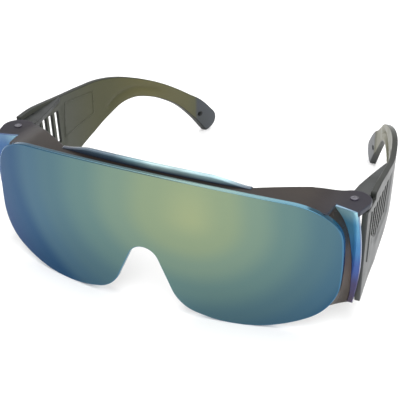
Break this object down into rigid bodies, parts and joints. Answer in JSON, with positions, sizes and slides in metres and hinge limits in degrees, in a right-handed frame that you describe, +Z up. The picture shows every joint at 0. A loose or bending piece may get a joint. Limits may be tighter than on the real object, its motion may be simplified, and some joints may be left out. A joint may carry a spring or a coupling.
{
  "type": "welding over-spectacles",
  "caption": "Wide over-spectacles with a one-piece curved mirror-coated front, a nose notch, vented side shields and folding temples.",
  "frame": {"origin": "on the resting plane, under the middle of the whole part's box", "axes": "+Z up, the mirrored front looks along -Y, +X is the wearer's left; the part is symmetric about X = 0"},
  "size_m": [0.1502, 0.1482, 0.0571],
  "materials": {
    "mirrored_lens": "polished polycarbonate with a blue to gold metallic mirror coat",
    "smoke_polycarbonate": "glossy smoke-green tinted polycarbonate",
    "pin_plastic": "dark moulded pin with a polished head"
  },
  "bodies": {
    "front": {"front": "mirrored_lens", "upper_hinge_pin_left": "pin_plastic", "lower_hinge_pin_left": "pin_plastic", "upper_hinge_pin_right": "pin_plastic", "lower_hinge_pin_right": "pin_plastic"},
    "temple_left": {"temple_left": "smoke_polycarbonate"},
    "temple_right": {"temple_right": "smoke_polycarbonate"}
  },
  "joints": [
    {"name": "left_temple_hinge", "type": "hinge", "parent": "front", "child": "temple_left", "pos_m": [0.0688, -0.04708, 0.0277], "axis": [0, 0, 1], "range_deg": [0, 82]},
    {"name": "right_temple_hinge", "type": "hinge", "parent": "front", "child": "temple_right", "pos_m": [-0.0688, -0.04708, 0.0277], "axis": [0, 0, -1], "range_deg": [0, 68]}
  ]
}
